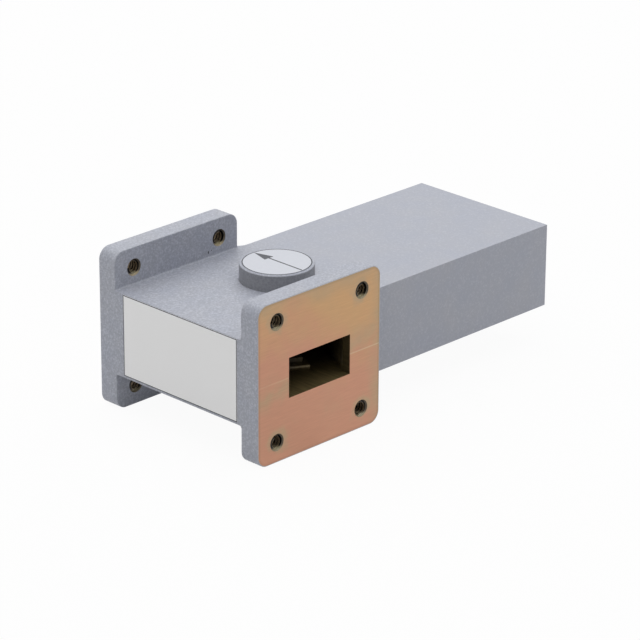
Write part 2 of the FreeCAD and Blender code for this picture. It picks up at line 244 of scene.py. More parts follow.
def from_quarter_point(tree, place, across, up):
    """Offset from a point of a port's face, which is repeated in all four quarters of the face."""
    folded = add(tree, "ShaderNodeVectorMath", {0: place}, operation="ABSOLUTE").outputs["Vector"]
    centre = (across, 0.0, up)
    return add(tree, "ShaderNodeVectorMath", {0: folded, 1: centre}, operation="SUBTRACT").outputs["Vector"]


def flat_length(tree, offset):
    """Length of an offset as seen straight at a port's face."""
    flat = add(tree, "ShaderNodeVectorMath", {0: offset, 1: (1.0, 0.0, 1.0)}, operation="MULTIPLY")
    return add(tree, "ShaderNodeVectorMath", {0: flat.outputs["Vector"]}, operation="LENGTH").outputs["Value"]


def from_hole(tree, place):
    """Distance in metres from the axis of the nearest screw hole: the holes lie evenly about the port."""
    return flat_length(tree, from_quarter_point(tree, place, BOLTS_ACROSS / 2, BOLTS_UP / 2))


def inside_outline(tree, place, corner):
    """Distance in metres inwards from the outline of a flange's face, up to the radius of its corners."""
    core = FLANGE_EDGE - corner
    past = from_quarter_point(tree, place, core, core)
    outer = add(tree, "ShaderNodeVectorMath", {0: past, 1: (0.0, 0.0, 0.0)}, operation="MAXIMUM")
    reach = flat_length(tree, outer.outputs["Vector"])
    return add(tree, "ShaderNodeMath", {0: corner, 1: reach}, operation="SUBTRACT").outputs[0]


def below_axis(tree, place):
    """1 at the lowest part of every screw hole and 0 from a little below its axis: where the holes take a
    painted highlight.
    """
    height = add(tree, "ShaderNodeSeparateXYZ", {"Vector": place}).outputs["Z"]
    folded = add(tree, "ShaderNodeMath", {0: height, 1: BOLTS_UP, 2: 0.0}, operation="WRAP")
    axis = BOLTS_UP / 2
    return add(
        tree,
        "ShaderNodeMapRange",
        {
            "Value": folded.outputs[0],
            "From Min": axis - 1.6 * MM,
            "From Max": axis - 1.0 * MM,
            "To Min": 1.0,
            "To Max": 0.0,
        },
        interpolation_type="SMOOTHSTEP",
    ).outputs["Result"]


# Two small chips in the paint of the rear flange: centre, and half sizes
PAINT_CHIPS = (
    ((9.8 * MM, 45.6 * MM, 11.5 * MM), (0.22 * MM, 0.5 * MM, 0.42 * MM)),
    ((10.8 * MM, 45.6 * MM, 11.75 * MM), (0.13 * MM, 0.5 * MM, 0.18 * MM)),
)


def sprayed_enamel(name):
    """Satin enamel sprayed on aluminium: an even blue-grey with a fine orange peel and light specks."""
    _, colours, _ = settings()
    material, tree, surface, place = new_material(name)
    cloud = add(tree, "ShaderNodeTexNoise", {"Vector": place, "Scale": grains_per_metre(9.0), "Detail": 3.0})
    grain = add(tree, "ShaderNodeTexNoise", {"Vector": place, "Scale": grains_per_metre(0.45), "Detail": 2.0})
    mottle = add(
        tree, "ShaderNodeMapRange", {"Value": cloud.outputs["Fac"], "From Min": 0.3, "From Max": 0.7}
    )
    tint = blend(tree, mottle.outputs["Result"], shade("A9AEBC"), shade("B1B3BB"))
    toned = blend(tree, 0.55, opaque(colours.enamel), tint)
    fleck = add(
        tree,
        "ShaderNodeMapRange",
        {"Value": grain.outputs["Fac"], "From Min": 0.52, "From Max": 0.76, "To Min": 0.0, "To Max": 0.4},
    )
    coat = blend(tree, fleck.outputs["Result"], toned, shade("C9CBD2"))
    gritty = add(
        tree,
        "ShaderNodeMapRange",
        {"Value": grain.outputs["Fac"], "From Min": 0.35, "From Max": 0.65, "To Min": 0.88, "To Max": 1.1},
    )
    # The spray lies coarse on the flanges and the block, and smoother out along the arm
    along = add(tree, "ShaderNodeSeparateXYZ", {"Vector": place}).outputs["X"]
    coarse = add(
        tree,
        "ShaderNodeMapRange",
        {"Value": along, "From Min": 14.0 * MM, "From Max": 30.0 * MM, "To Min": 1.0, "To Max": 0.15},
    )
    coat = blend(tree, coarse.outputs["Result"], coat, gritty.outputs["Result"], "MULTIPLY")
    for centre, size in PAINT_CHIPS:
        offset = add(tree, "ShaderNodeVectorMath", {0: place, 1: centre}, operation="SUBTRACT")
        scaled = add(tree, "ShaderNodeVectorMath", {0: offset.outputs["Vector"], 1: size}, operation="DIVIDE")
        reach = add(tree, "ShaderNodeVectorMath", {0: scaled.outputs["Vector"]}, operation="LENGTH")
        bare = add(
            tree,
            "ShaderNodeMapRange",
            {"Value": reach.outputs["Value"], "From Min": 0.7, "To Min": 1.0, "To Max": 0.0},
        )
        coat = blend(tree, bare.outputs["Result"], coat, shade("2B2C31"))
    peel = add(tree, "ShaderNodeTexNoise", {"Vector": place, "Scale": grains_per_metre(0.55), "Detail": 2.0})
    bump = add(
        tree, "ShaderNodeBump", {"Height": peel.outputs["Fac"], "Strength": 0.5, "Distance": 0.02 * MM}
    )
    finish = {"Base Color": coat, "Normal": bump.outputs["Normal"], "Roughness": 0.5, "IOR": 1.5}
    feed(tree, surface, finish)
    return material


def cap_side_shaded_enamel(name):
    """Enamel on the caps' sides: grainy, and painted darker than the tops as shade."""
    material, tree, surface, place = new_material(name)
    cover = add(tree, "ShaderNodeTexNoise", {"Vector": place, "Scale": grains_per_metre(0.5), "Detail": 3.0})
    spread = add(
        tree, "ShaderNodeMapRange", {"Value": cover.outputs["Fac"], "From Min": 0.35, "From Max": 0.65}
    )
    tone = blend(tree, spread.outputs["Result"], shade("8A8B90"), shade("9B9CA1"))
    bump = add(
        tree, "ShaderNodeBump", {"Height": cover.outputs["Fac"], "Strength": 0.3, "Distance": 0.02 * MM}
    )
    feed(tree, surface, {"Base Color": tone, "Normal": bump.outputs["Normal"], "Roughness": 0.5})
    return material


def golden_share(tree, place, half):
    """How golden the chromate film is: in clouds that differ by half, more above and towards the arm."""
    cloud = add(
        tree,
        "ShaderNodeTexNoise",
        {"Vector": place, "W": half, "Scale": grains_per_metre(14.0), "Detail": 4.0},
        noise_dimensions="4D",
    )
    gain_per_metre = (8.0, 0.0, 20.0)
    rise = add(tree, "ShaderNodeVectorMath", {0: place, 1: gain_per_metre}, operation="DOT_PRODUCT")
    lift = add(tree, "ShaderNodeMath", {0: rise.outputs["Value"], 1: cloud.outputs["Fac"]}, operation="ADD")
    return add(
        tree,
        "ShaderNodeMapRange",
        {"Value": lift.outputs[0], "From Min": 0.42, "From Max": 0.92},
        interpolation_type="SMOOTHSTEP",
    ).outputs["Result"]


def joint_band(tree, axes, half, ragged):
    """A band of thin film at both sides of the port, along a line that leans a little off the joint.

    Below the joint it shows only on the side away from the arm.
    """
    side = add(tree, "ShaderNodeMath", {0: axes["X"]}, operation="ABSOLUTE").outputs[0]
    beside = add(
        tree,
        "ShaderNodeMapRange",
        {"Value": side, "From Min": PORT_EDGE - 3.0 * MM, "From Max": PORT_EDGE + 0.5 * MM},
        interpolation_type="SMOOTHSTEP",
    ).outputs["Result"]
    tilt = add(tree, "ShaderNodeMath", {0: axes["X"], 1: -0.2, 2: axes["Z"]}, operation="MULTIPLY_ADD")
    apart = add(tree, "ShaderNodeMath", {0: tilt.outputs[0]}, operation="ABSOLUTE").outputs[0]
    climb = add(
        tree, "ShaderNodeMath", {0: ragged, 1: 6.0 * MM, 2: apart}, operation="MULTIPLY_ADD"
    ).outputs[0]
    near = add(
        tree,
        "ShaderNodeMapRange",
        {"Value": climb, "From Min": 1.5 * MM, "From Max": 8.0 * MM, "To Min": 0.48, "To Max": 0.0},
        interpolation_type="SMOOTHSTEP",
    ).outputs["Result"]
    away = add(tree, "ShaderNodeMath", {0: axes["X"], 1: 0.0}, operation="LESS_THAN").outputs[0]
    allowed = add(tree, "ShaderNodeMath", {0: half, 1: away}, operation="MAXIMUM").outputs[0]
    shown = add(tree, "ShaderNodeMath", {0: near, 1: allowed}, operation="MULTIPLY").outputs[0]
    return add(tree, "ShaderNodeMath", {0: shown, 1: beside}, operation="MULTIPLY").outputs[0]


def thin_share(tree, place, axes, half):
    """How thin the chromate film is: in patches, most round the holes, at two edges and by the joint."""
    ragged = add(
        tree,
        "ShaderNodeTexNoise",
        {"Vector": place, "W": half, "Scale": grains_per_metre(3.0), "Detail": 4.0},
        noise_dimensions="4D",
    ).outputs["Fac"]
    reach = add(
        tree, "ShaderNodeMath", {0: ragged, 1: 5.0 * MM, 2: from_hole(tree, place)}, operation="MULTIPLY_ADD"
    )
    halo = add(
        tree,
        "ShaderNodeMapRange",
        {
            "Value": reach.outputs[0],
            "From Min": BOLT_RADIUS + 2.3 * MM,
            "From Max": BOLT_RADIUS + 5.0 * MM,
            "To Min": 0.58,
            "To Max": 0.0,
        },
        interpolation_type="SMOOTHSTEP",
    ).outputs["Result"]
    # The upper edge and the one on the arm's side
    farther = add(tree, "ShaderNodeMath", {0: axes["X"], 1: axes["Z"]}, operation="MAXIMUM").outputs[0]
    rim = add(
        tree,
        "ShaderNodeMapRange",
        {"Value": farther, "From Min": FLANGE_EDGE - 5.0 * MM, "From Max": FLANGE_EDGE, "To Max": 0.5},
    ).outputs["Result"]
    band = joint_band(tree, axes, half, ragged)
    outer = add(tree, "ShaderNodeMath", {0: halo, 1: rim}, operation="MAXIMUM").outputs[0]
    lean = add(tree, "ShaderNodeMath", {0: outer, 1: band}, operation="MAXIMUM").outputs[0]
    patch = add(
        tree,
        "ShaderNodeTexNoise",
        {"Vector": place, "W": half, "Scale": grains_per_metre(7.0), "Detail": 5.0, "Roughness": 0.62},
        noise_dimensions="4D",
    ).outputs["Fac"]
    spread = add(tree, "ShaderNodeMath", {0: patch, 1: lean}, operation="ADD").outputs[0]
    return add(
        tree,
        "ShaderNodeMapRange",
        {"Value": spread, "From Min": 0.45, "From Max": 1.3},
        interpolation_type="SMOOTHSTEP",
    ).outputs["Result"]


def joint_line(tree, axes):
    """The joint between the halves as a hairline of bare metal, brighter towards the arm."""
    height = add(tree, "ShaderNodeMath", {0: axes["Z"]}, operation="ABSOLUTE").outputs[0]
    joint = add(
        tree,
        "ShaderNodeMapRange",
        {"Value": height, "From Min": 0.04 * MM, "From Max": 0.2 * MM, "To Min": 0.6, "To Max": 0.0},
    ).outputs["Result"]
    bared = add(
        tree,
        "ShaderNodeMapRange",
        {"Value": axes["X"], "From Min": -FLANGE_EDGE, "From Max": FLANGE_EDGE, "To Min": 0.25},
    ).outputs["Result"]
    return add(tree, "ShaderNodeMath", {0: joint, 1: bared}, operation="MULTIPLY").outputs[0]


def chromate_film(name):
    """Chromate conversion film on milled aluminium: salmon to gold clouds over faint cutter lines.

    Where the film is thin it is greener. The halves were dipped apart, so the clouds differ across the
    joint. All round the face the paint laps onto it, and the film beside the paint is darker.
    """
    sizes, colours, _ = settings()
    material, tree, surface, place = new_material(name)
    axes = add(tree, "ShaderNodeSeparateXYZ", {"Vector": place}).outputs
    half = add(tree, "ShaderNodeMath", {0: axes["Z"], 1: 0.0}, operation="GREATER_THAN").outputs[0]
    film = blend(tree, golden_share(tree, place, half), opaque(colours.salmon), opaque(colours.gold))
    film = blend(tree, thin_share(tree, place, axes, half), film, opaque(colours.olive))
    film = blend(tree, joint_line(tree, axes), film, shade("D8C6A4"))

    # The cutter's lines run across the face, a little off level
    turned = add(
        tree,
        "ShaderNodeMapping",
        {"Vector": place, "Rotation": (0.0, math.radians(4.0), 0.0), "Scale": (0.06, 1.0, 1.0)},
    )
    lines = add(
        tree,
        "ShaderNodeTexNoise",
        {"Vector": turned.outputs["Vector"], "Scale": grains_per_metre(0.3), "Detail": 2.0},
    ).outputs["Fac"]
    dull = add(tree, "ShaderNodeMapRange", {"Value": lines, "To Min": 0.89, "To Max": 1.1})
    film = blend(tree, 1.0, film, dull.outputs["Result"], "MULTIPLY")

    inwards = inside_outline(tree, place, sizes.flange_corner)
    lap = sizes.paint_lap
    darker = add(
        tree,
        "ShaderNodeMapRange",
        {"Value": inwards, "From Min": lap, "From Max": 0.9 * MM, "To Min": 0.82, "To Max": 1.0},
    )
    film = blend(tree, 1.0, film, darker.outputs["Result"], "MULTIPLY")
    painted = add(
        tree,
        "ShaderNodeMapRange",
        {"Value": inwards, "From Min": lap * 0.8, "From Max": lap, "To Min": 0.9, "To Max": 0.0},
    )
    film = blend(tree, painted.outputs["Result"], film, shade("B6B5B2"))
    bump = add(tree, "ShaderNodeBump", {"Height": lines, "Strength": 0.25, "Distance": 0.01 * MM})
    finish = {"Base Color": film, "Normal": bump.outputs["Normal"], "Metallic": 0.6, "Roughness": 0.42}
    feed(tree, surface, finish)
    return material


def channel_film(name):
    """The same film inside the channels, brown and dull, with the cutter's tracks along the floor.

    Its dark tone is partly painted shade, and it turns darker on the walls and away from the ports, as
    painted shade.
    """
    material, tree, surface, place = new_material(name)
    turned = add(
        tree,
        "ShaderNodeMapping",
        {"Vector": place, "Rotation": (0.0, 0.0, math.radians(30.0)), "Scale": (1.0, 0.08, 1.0)},
    )
    tracks = add(
        tree,
        "ShaderNodeTexNoise",
        {"Vector": turned.outputs["Vector"], "Scale": grains_per_metre(0.5), "Detail": 3.0},
    ).outputs["Fac"]
    # Brown film tones, kept darker than the face's film partly as painted shade
    tone = blend(tree, tracks, shade("382C19"), shade("9C8A5E"))
    # Painted shade: the walls are darker than the floor, and the film darker away from the ports
    facing = add(tree, "ShaderNodeNewGeometry").outputs["Normal"]
    level = add(tree, "ShaderNodeSeparateXYZ", {"Vector": facing}).outputs["Z"]
    flat = add(tree, "ShaderNodeMath", {0: level}, operation="ABSOLUTE").outputs[0]
    wall = add(tree, "ShaderNodeMath", {0: 0.55, 1: flat}, operation="SUBTRACT", use_clamp=True).outputs[0]
    along = add(tree, "ShaderNodeSeparateXYZ", {"Vector": place}).outputs["Y"]
    depth = add(tree, "ShaderNodeMath", {0: along, 1: REAR_PORT / 2}, operation="PINGPONG").outputs[0]
    dark = add(
        tree,
        "ShaderNodeMapRange",
        {"Value": depth, "From Min": 5.0 * MM, "From Max": 12.0 * MM, "To Min": 0.0, "To Max": 0.9},
    ).outputs["Result"]
    painted_shade = add(tree, "ShaderNodeMath", {0: dark, 1: wall}, operation="MAXIMUM").outputs[0]
    tone = blend(tree, painted_shade, tone, shade("171208"))
    bump = add(tree, "ShaderNodeBump", {"Height": tracks, "Strength": 0.4, "Distance": 0.015 * MM})
    finish = {"Base Color": tone, "Normal": bump.outputs["Normal"], "Metallic": 0.4, "Roughness": 0.45}
    feed(tree, surface, finish)
    return material


def countersink_metal(name):
    """Aluminium cut by the countersink: brown-grey film, with a painted highlight on its lower part."""
    material, tree, surface, place = new_material(name)
    blotch = add(tree, "ShaderNodeTexNoise", {"Vector": place, "Scale": grains_per_metre(0.4), "Detail": 2.0})
    filmed = blend(tree, blotch.outputs["Fac"], shade("494036"), shade("6B6251"))
    # Painted highlight: paler below the hole's axis
    lit_below = blend(tree, below_axis(tree, place), filmed, shade("998D73"))
    feed(tree, surface, {"Base Color": lit_below, "Metallic": 0.3, "Roughness": 0.5})
    return material


def thread_metal(name):
    """Tapped aluminium: grey-brown crests with a painted highlight below, over grooves painted nearly black
    as shade, less dark below.
    """
    material, tree, surface, place = new_material(name)
    smear = add(tree, "ShaderNodeTexNoise", {"Vector": place, "Scale": grains_per_metre(0.7), "Detail": 2.0})
    crest = blend(tree, smear.outputs["Fac"], shade("54402B"), shade("9C8B70"))
    below = below_axis(tree, place)
    # Painted highlight on the lower wall of each hole
    lit_below = blend(tree, below, crest, shade("EBE2C0"))
    # Painted shade in the grooves, weaker below
    groove_shade = add(
        tree,
        "ShaderNodeMapRange",
        {
            "Value": from_hole(tree, place),
            "From Min": BOLT_RADIUS - 0.43 * MM,
            "From Max": BOLT_RADIUS - 0.32 * MM,
        },
        interpolation_type="SMOOTHSTEP",
    ).outputs["Result"]
    groove_shade_kept = add(tree, "ShaderNodeMapRange", {"Value": below, "To Min": 1.0, "To Max": 0.4}).outputs["Result"]
    painted_groove_shade = add(tree, "ShaderNodeMath", {0: groove_shade, 1: groove_shade_kept}, operation="MULTIPLY").outputs[0]
    tone = blend(tree, painted_groove_shade, lit_below, shade("0A0704"))
    feed(tree, surface, {"Base Color": tone, "Metallic": 0.4, "Roughness": 0.4})
    return material


def label_film(name, tone):
    """Polyester label of that tone: smooth and faintly mottled, with a soft gloss."""
    material, tree, surface, place = new_material(name)
    fibre = add(
        tree, "ShaderNodeTexNoise", {"Vector": place, "Scale": grains_per_metre(1.2), "Detail": 3.0}
    ).outputs["Fac"]
    paler = blend(tree, fibre, tone, shade("FAFAFA"))
    mottled = blend(tree, 0.12, tone, paler)
    bump = add(tree, "ShaderNodeBump", {"Height": fibre, "Strength": 0.15, "Distance": 0.01 * MM})
    finish = {"Base Color": mottled, "Normal": bump.outputs["Normal"], "Roughness": 0.45, "IOR": 1.65}
    feed(tree, surface, finish)
    return material


def label_ink(name):
    """Thermal transfer print: dark grey resin ink, slightly uneven."""
    _, colours, _ = settings()
    material, tree, surface, place = new_material(name)
    streak = add(tree, "ShaderNodeTexNoise", {"Vector": place, "Scale": grains_per_metre(0.5), "Detail": 2.0})
    tone = blend(tree, streak.outputs["Fac"], opaque(colours.ink), shade("4A4D55"))
    feed(tree, surface, {"Base Color": tone, "Roughness": 0.55})
    return material


def plain_stock(name, dark, light, grain_mm, metallic, roughness):
    """Surface of an inner piece: two close tones in grains of a known size."""
    material, tree, surface, place = new_material(name)
    grain = add(
        tree, "ShaderNodeTexNoise", {"Vector": place, "Scale": grains_per_metre(grain_mm), "Detail": 4.0}
    ).outputs["Fac"]
    tone = blend(tree, grain, shade(dark), shade(light))
    bump = add(tree, "ShaderNodeBump", {"Height": grain, "Strength": 0.3, "Distance": 0.01 * MM})
    finish = {
        "Base Color": tone,
        "Normal": bump.outputs["Normal"],
        "Metallic": metallic,
        "Roughness": roughness,
    }
    feed(tree, surface, finish)
    return material


def place_piece(name, mesh, slot, *nodes):
    """Put a finished mesh in the scene: it rides on the body and stands for the named nodes."""
    piece = bpy.data.objects.new(name, mesh)
    bpy.context.scene.collection.objects.link(piece)
    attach(piece, "root")
    if nodes:
        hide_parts(*nodes)
    return piece


def applied(work):
    """The mesh of a work object with its modifiers applied. The work object is removed."""
    graph = bpy.context.evaluated_depsgraph_get()
    finished = work.evaluated_get(graph)
    mesh = bpy.data.meshes.new_from_object(finished, preserve_all_data_layers=True, depsgraph=graph)
    work.modifiers.clear()
    bpy.data.objects.remove(work)
    return mesh


# Points of a CAD mesh nearer than this are one, and faces within this angle are one flat area
WELD = 0.0005 * MM
FLATNESS = math.radians(0.5)

# From these angles an edge takes the paint's round, and stays crisp in the shading
ROUNDED = math.radians(25.0)
CRISP = math.radians(28.0)


def merged(node):
    """A bmesh of a CAD node with its loose triangles joined and its flat areas made whole."""
    mesh = bmesh.new()
    mesh.from_mesh(frame["nodes"][node].data)
    bmesh.ops.remove_doubles(mesh, verts=mesh.verts, dist=WELD)
    bmesh.ops.dissolve_limit(mesh, angle_limit=FLATNESS, verts=mesh.verts, edges=mesh.edges)
    return mesh


def rounded_copy(node, name, radius, surfaces, surface_of, soft):
    """Copy a CAD node, give each face its surface and round the outer edges between painted faces.

    surface_of gives the number of a face's surface, and soft says whether an edge takes the round.
    """
    mesh = merged(node)
    for face in mesh.faces:
        face.material_index = surface_of(face)
        face.smooth = True
    weights = mesh.edges.layers.float.new("bevel_weight_edge")
    for edge in mesh.edges:
        if len(edge.link_faces) == 2 and edge.is_convex and edge.calc_face_angle() > ROUNDED and soft(edge):
            edge[weights] = 1.0
    data = bpy.data.meshes.new(name)
    mesh.to_mesh(data)
    mesh.free()
    for surface in surfaces:
        data.materials.append(surface)
    data.set_sharp_from_angle(angle=CRISP)
    work = bpy.data.objects.new(name + "_work", data)
    bpy.context.scene.collection.objects.link(work)
    bevel = work.modifiers.new("round", "BEVEL")
    bevel.width = radius
    bevel.segments = 3
    bevel.limit_method = "WEIGHT"
    flats = work.modifiers.new("flats", "WEIGHTED_NORMAL")
    flats.mode = "FACE_AREA"
    flats.weight = 100
    flats.keep_sharp = True
    made = applied(work)
    made.name = name
    return made


# Surfaces of a body half, in the order of its material slots
ENAMEL, FILM, CHANNEL, COUNTERSINK, TAPPED = range(5)

# Points this near to a plane lie on it
TOUCH = 0.001 * MM

# The faces cut round a screw hole, and round the cap, reach at most this far past its radius
CUT_REACH = 0.5 * MM


def hole_centres():
    """Across and up of the four screw holes of a flange."""
    return [
        Vector((across * BOLTS_ACROSS / 2, up * BOLTS_UP / 2))
        for across in (-1, 1)
        for up in (-1, 1)
    ]


def body_surface(face):
    """Which surface a face of a body half belongs to."""
    points = [vert.co for vert in face.verts]
    if all(abs(p.y) < TOUCH for p in points) or all(abs(p.y - REAR_PORT) < TOUCH for p in points):
        return FILM
    countersunk = BOLT_RADIUS + CUT_REACH
    for hole in hole_centres():
        if all((Vector((p.x, p.z)) - hole).length < countersunk for p in points):
            return TAPPED if abs(face.normal.y) < 0.1 else COUNTERSINK
    if all(abs(p.z) < CHANNEL_TOP + TOUCH for p in points):
        return CHANNEL
    seat = CAP_RADIUS + CUT_REACH
    if all((p.xy - JUNCTION).length < seat for p in points):
        return CHANNEL
    return ENAMEL


def painted_edge(edge):
    """Whether an edge lies between painted faces, away from the joint between the halves."""
    if all(abs(vert.co.z) < TOUCH for vert in edge.verts):
        return False
    return all(face.material_index == ENAMEL for face in edge.link_faces)


class ISOLATOR_OT_body(bpy.types.Operator):
    """Make the two painted body halves with their bare ports and holes"""

    bl_idname = "isolator.body"
    bl_label = "Body halves"
    bl_options = {"REGISTER", "UNDO"}

    def execute(self, context):
        sizes, _, _ = settings()
        surfaces = [
            material_named("satin_enamel", sprayed_enamel),
            material_named("chromate_film", chromate_film),
            material_named("channel_chromate", channel_film),
            material_named("countersink_aluminium", countersink_metal),
            material_named("tapped_thread", thread_metal),
        ]
        for side in ("upper", "lower"):
            node = f"body_{side}_half"
            mesh = rounded_copy(node, f"{side}_body", sizes.edge_round, surfaces, body_surface, painted_edge)
            place_piece(f"{side}_body", mesh, "painted_body", node)
        return {"FINISHED"}


# Surfaces of a cap, in the order of its material slots
CAP_TOP, CAP_SIDE = range(2)


def cap_surface(face):
    """Which surface a face of a cap belongs to."""
    return CAP_TOP if abs(face.normal.z) > 0.5 else CAP_SIDE


def cap_rim(edge):
    """Whether an edge lies at the outside of a cap, away from its hollow."""
    outside = CAP_RADIUS - 1.0 * MM
    return all((vert.co.xy - JUNCTION).length > outside for vert in edge.verts)


class ISOLATOR_OT_caps(bpy.types.Operator):
    """Make the two painted magnet caps"""

    bl_idname = "isolator.caps"
    bl_label = "Magnet caps"
    bl_options = {"REGISTER", "UNDO"}

    def execute(self, context):
        sizes, _, _ = settings()
        surfaces = [
            material_named("satin_enamel", sprayed_enamel),
            # The caps' sides take enamel painted darker, as shade
            material_named("cap_side_shaded_enamel", cap_side_shaded_enamel),
        ]
        for side in ("upper", "lower"):
            node = f"magnet_cap_{side}"
            mesh = rounded_copy(node, f"{side}_cap", sizes.cap_round, surfaces, cap_surface, cap_rim)
            place_piece(f"{side}_cap", mesh, "painted_cap", node)
        return {"FINISHED"}


# Widths of the thread's ridge as shares of its pitch. The groove is a little wide, so that it shows.
RIDGE_BASE = 0.6
RIDGE_CREST = 0.12


def thread_tree():
    """Geometry nodes that wind a helical ridge round the wall of every screw hole of both flanges."""
    tree = bpy.data.node_groups.new("tapped_holes", "GeometryNodeTree")
    sockets = [
        ("Across", "NodeSocketFloat"),
        ("Up", "NodeSocketFloat"),
        ("Port to port", "NodeSocketFloat"),
        ("Start", "NodeSocketFloat"),
        ("Run", "NodeSocketFloat"),
        ("Pitch", "NodeSocketFloat"),
        ("Root radius", "NodeSocketFloat"),
        ("Depth", "NodeSocketFloat"),
        ("Seed", "NodeSocketInt"),
        ("Metal", "NodeSocketMaterial"),
    ]
    for name, kind in sockets:
        tree.interface.new_socket(name, in_out="INPUT", socket_type=kind)
    tree.interface.new_socket("Geometry", in_out="OUTPUT", socket_type="NodeSocketGeometry")
    given = add(tree, "NodeGroupInput").outputs

    # One ridge about the Z axis: a trapezoid, wide at the root, that follows a helix
    turns = add(tree, "ShaderNodeMath", {0: given["Run"], 1: given["Pitch"]}, operation="DIVIDE")
    half_depth = add(tree, "ShaderNodeMath", {0: given["Depth"], 1: -0.5}, operation="MULTIPLY")
    middle = add(tree, "ShaderNodeMath", {0: given["Root radius"], 1: half_depth.outputs[0]}, operation="ADD")
    helix = add(
        tree,
        "GeometryNodeCurveSpiral",
        {
            "Resolution": 36,
            "Rotations": turns.outputs[0],
            "Start Radius": middle.outputs[0],
            "End Radius": middle.outputs[0],
            "Height": given["Run"],
        },
    )
    level = add(tree, "GeometryNodeSetCurveNormal", {"Curve": helix.outputs["Curve"]}, mode="Z_UP")
    base = add(tree, "ShaderNodeMath", {0: given["Pitch"], 1: RIDGE_BASE}, operation="MULTIPLY")
    crest = add(tree, "ShaderNodeMath", {0: given["Pitch"], 1: RIDGE_CREST}, operation="MULTIPLY")
    section = add(
        tree,
        "GeometryNodeCurvePrimitiveQuadrilateral",
        {
            "Bottom Width": base.outputs[0],
            "Top Width": crest.outputs[0],
            "Offset": 0.0,
            "Height": given["Depth"],
        },
        mode="TRAPEZOID",
    )
    turned = add(
        tree,
        "GeometryNodeTransform",
        {"Geometry": section.outputs["Curve"], "Rotation": (0.0, 0.0, math.radians(90.0))},
    )
    ridge = add(
        tree,
        "GeometryNodeCurveToMesh",
        {"Curve": level.outputs["Curve"], "Profile Curve": turned.outputs["Geometry"], "Fill Caps": True},
    )

    # The four holes of a flange, each thread started at another turn, and the same at the rear port
    square = add(
        tree,
        "GeometryNodeMeshGrid",
        {"Size X": given["Across"], "Size Y": given["Up"], "Vertices X": 2, "Vertices Y": 2},
    )
    upright = add(
        tree,
        "GeometryNodeTransform",
        {"Geometry": square.outputs["Mesh"], "Rotation": (math.radians(90.0), 0.0, 0.0)},
    )
    turn = add(
        tree,
        "FunctionNodeRandomValue",
        {"Max": math.tau, "Seed": given["Seed"]},
        data_type="FLOAT",
    )
    spun = add(tree, "ShaderNodeCombineXYZ", {"X": math.radians(-90.0), "Y": turn.outputs[1]})
    aimed = add(tree, "FunctionNodeEulerToRotation", {"Euler": spun.outputs["Vector"]})
    threads = add(
        tree,
        "GeometryNodeInstanceOnPoints",
        {
            "Points": upright.outputs["Geometry"],
            "Instance": ridge.outputs["Mesh"],
            "Rotation": aimed.outputs["Rotation"],
        },
    )
    first = add(tree, "ShaderNodeCombineXYZ", {"Y": given["Start"]})
    step = add(tree, "ShaderNodeCombineXYZ", {"Y": given["Port to port"]})
    ports = add(
        tree,
        "GeometryNodeMeshLine",
        {"Count": 2, "Start Location": first.outputs["Vector"], "Offset": step.outputs["Vector"]},
    )
    flanges = add(
        tree,
        "GeometryNodeInstanceOnPoints",
        {"Points": ports.outputs["Mesh"], "Instance": threads.outputs["Instances"]},
    )
    solid = add(tree, "GeometryNodeRealizeInstances", {"Geometry": flanges.outputs["Instances"]})
    dressed = add(
        tree,
        "GeometryNodeSetMaterial",
        {"Geometry": solid.outputs["Geometry"], "Material": given["Metal"]},
    )
    add(tree, "NodeGroupOutput", {"Geometry": dressed.outputs["Geometry"]})
    return tree


class ISOLATOR_OT_threads(bpy.types.Operator):
    """Make the screw threads in the holes of both flanges"""

    bl_idname = "isolator.threads"
    bl_label = "Screw threads"
    bl_options = {"REGISTER", "UNDO"}

    def execute(self, context):
        sizes, _, _ = settings()
        tree = thread_tree()
        # The ridge is rooted well inside the wall, so that it also meets the cone of the countersink
        wall = 0.2 * MM
        base = sizes.thread_pitch * RIDGE_BASE
        values = {
            "Across": BOLTS_ACROSS,
            "Up": BOLTS_UP,
            "Port to port": REAR_PORT - sizes.flange_thickness,
            "Start": sizes.thread_start + base / 2,
            "Run": sizes.flange_thickness - 2 * sizes.thread_start - base,
            "Pitch": sizes.thread_pitch,
            "Root radius": BOLT_RADIUS + wall,
            "Depth": sizes.thread_depth + wall,
            "Seed": 6,
            "Metal": material_named("tapped_thread", thread_metal),
        }
        work = bpy.data.objects.new("threads_work", bpy.data.meshes.new("threads_work"))
        context.scene.collection.objects.link(work)
        nodes = work.modifiers.new("threads", "NODES")
        nodes.node_group = tree
        for socket in tree.interface.items_tree:
            if socket.in_out == "INPUT":
                nodes[socket.identifier] = values[socket.name]
        mesh = applied(work)
        mesh.name = "screw_threads"
        mesh.shade_smooth()
        mesh.set_sharp_from_angle(angle=math.radians(30.0))
        place_piece("screw_threads", mesh, "painted_body")
        return {"FINISHED"}


def film_under_ink(node, axis, level, ink, film):
    """A label's film: the CAD label with its outer face, at that level of an axis, set back by the ink."""
    mesh = merged(node)
    centre = sum(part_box(node), Vector())[axis] / 2
    inward = math.copysign(ink, centre - level)
    for vert in mesh.verts:
        if abs(vert.co[axis] - level) < TOUCH:
            vert.co[axis] += inward
    data = bpy.data.meshes.new(f"{node}_film")
    mesh.to_mesh(data)
    mesh.free()
    data.materials.append(film)
    return data


